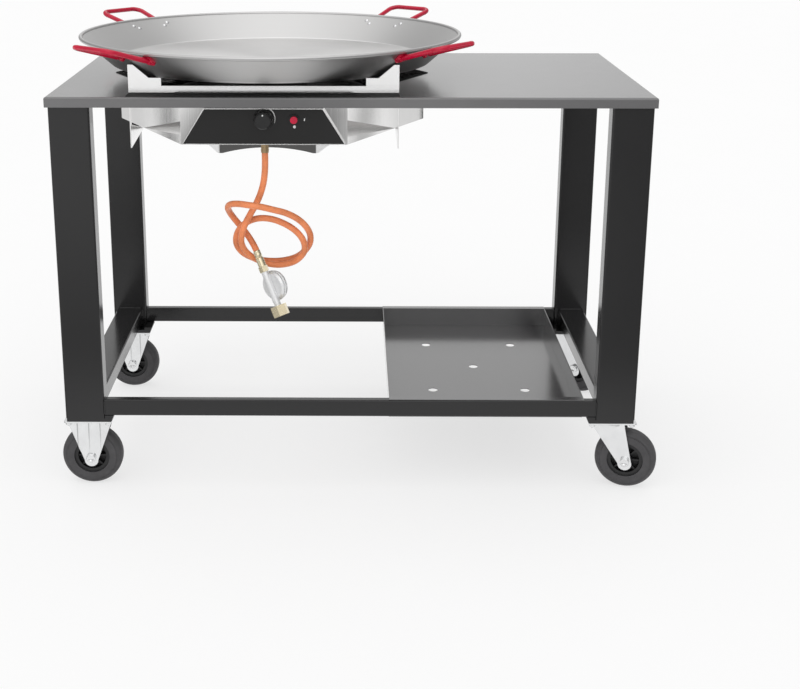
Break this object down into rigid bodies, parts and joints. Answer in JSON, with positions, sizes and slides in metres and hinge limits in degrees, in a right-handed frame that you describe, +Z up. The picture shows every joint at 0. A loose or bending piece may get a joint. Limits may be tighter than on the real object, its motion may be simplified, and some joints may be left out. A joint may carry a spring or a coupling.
{
  "type": "paella burner trolley",
  "caption": "Steel trolley on casters with a hexagonal gas burner let into its table, a wide handled pan on a horned support, a hanging gas hose with regulator, and a low bottle tray.",
  "frame": {"origin": "on the floor, under the middle of the outline's width and depth", "axes": "+Z up, +X to the right along the table's length, the control panel faces -Y"},
  "size_m": [1.2332, 0.8086, 0.9238],
  "materials": {
    "frame_black": "satin powder coat",
    "tray_black": "satin powder coat",
    "zinc": "bright zinc plate",
    "hub_plastic": "matt",
    "tyre": "matt rubber",
    "stainless": "brushed",
    "burner_black": "heat-proof matt paint",
    "panel_black": "satin",
    "knob_black": "satin",
    "brass": "machined",
    "red_plastic": "gloss",
    "ceramic": "glazed",
    "pan_steel": "rolled sheet",
    "red_enamel": "gloss enamel",
    "hose_rubber": "satin",
    "regulator_alu": "die cast"
  },
  "bodies": {
    "trolley": {"table_top": "frame_black", "leg_front_left": "frame_black", "leg_front_right": "frame_black", "leg_rear_left": "frame_black", "leg_rear_right": "frame_black", "rail_front": "frame_black", "rail_rear": "frame_black", "rail_left": "frame_black", "rail_right": "frame_black", "corner_gussets": "frame_black", "bottle_tray": "tray_black", "caster_pads": "frame_black", "fork_front_left": "zinc", "fork_rear_left": "zinc", "swivel_plate_front": "zinc", "swivel_plate_rear": "zinc", "axle_front_left": "zinc", "axle_rear_left": "zinc", "burner_housing": "stainless", "lower_shield": "stainless", "corner_feet": "stainless", "ring_burner": "burner_black", "burner_bracket": "stainless", "control_box": "stainless", "control_panel": "panel_black", "gas_valve": "brass", "feed_pipe": "brass", "hose_ferrule": "brass", "igniter": "knob_black", "igniter_collar": "zinc", "spark_electrode": "ceramic", "thermocouple": "stainless", "pan_support": "stainless", "gas_hose": "hose_rubber", "regulator_tail": "brass", "regulator": "regulator_alu"},
    "wheel_front_left": {"hub_front_left": "hub_plastic", "tyre_front_left": "tyre"},
    "wheel_rear_left": {"hub_rear_left": "hub_plastic", "tyre_rear_left": "tyre"},
    "swivel_front": {"fork_front_right": "zinc", "axle_front_right": "zinc"},
    "swivel_rear": {"fork_rear_right": "zinc", "axle_rear_right": "zinc"},
    "wheel_front_right": {"hub_front_right": "hub_plastic", "tyre_front_right": "tyre"},
    "wheel_rear_right": {"hub_rear_right": "hub_plastic", "tyre_rear_right": "tyre"},
    "spindle": {"valve_spindle": "zinc"},
    "knob": {"control_knob": "knob_black"},
    "button": {"piezo_button": "red_plastic"},
    "pan_body": {"pan": "pan_steel", "handle_rear_right": "red_enamel", "handle_rear_left": "red_enamel", "handle_front_left": "red_enamel", "handle_front_right": "red_enamel"},
    "union": {"union_nut": "brass"}
  },
  "joints": [
    {"name": "wheel_front_left_roll", "type": "hinge", "parent": "trolley", "child": "wheel_front_left", "pos_m": [-0.55329, -0.2675, 0.0625], "axis": [0, 1, 0], "continuous": true},
    {"name": "wheel_rear_left_roll", "type": "hinge", "parent": "trolley", "child": "wheel_rear_left", "pos_m": [-0.55329, 0.2675, 0.0625], "axis": [0, 1, 0], "continuous": true},
    {"name": "swivel_front", "type": "hinge", "parent": "trolley", "child": "swivel_front", "pos_m": [0.51872, -0.2675, 0.14], "axis": [0, 0, 1], "continuous": true},
    {"name": "wheel_front_right_roll", "type": "hinge", "parent": "swivel_front", "child": "wheel_front_right", "pos_m": [0.55542, -0.27733, 0.0625], "axis": [0.2588, 0.9659, 0], "continuous": true},
    {"name": "swivel_rear", "type": "hinge", "parent": "trolley", "child": "swivel_rear", "pos_m": [0.51872, 0.2675, 0.14], "axis": [0, 0, 1], "continuous": true},
    {"name": "wheel_rear_right_roll", "type": "hinge", "parent": "swivel_rear", "child": "wheel_rear_right", "pos_m": [0.54695, 0.24207, 0.0625], "axis": [0.6691, 0.7431, 0], "continuous": true},
    {"name": "knob_push", "type": "slide", "parent": "trolley", "child": "spindle", "axis": [0, 1, 0], "range_m": [0, 0.003], "stiffness_N_per_m": 900},
    {"name": "knob_turn", "type": "hinge", "parent": "spindle", "child": "knob", "pos_m": [-0.18529, -0.2926, 0.774], "axis": [0, -1, 0], "range_deg": [0, 180]},
    {"name": "button_push", "type": "slide", "parent": "trolley", "child": "button", "axis": [0, 1, 0], "range_m": [0, 0.004], "stiffness_N_per_m": 1500},
    {"name": "pan_lift", "type": "slide", "parent": "trolley", "child": "pan_body", "axis": [0, 0, 1], "range_m": [0, 0.25]},
    {"name": "union_turn", "type": "hinge", "parent": "trolley", "child": "union", "pos_m": [-0.20228, -0.22509, 0.475], "axis": [0.3726, -0.2794, -0.8849], "continuous": true}
  ]
}
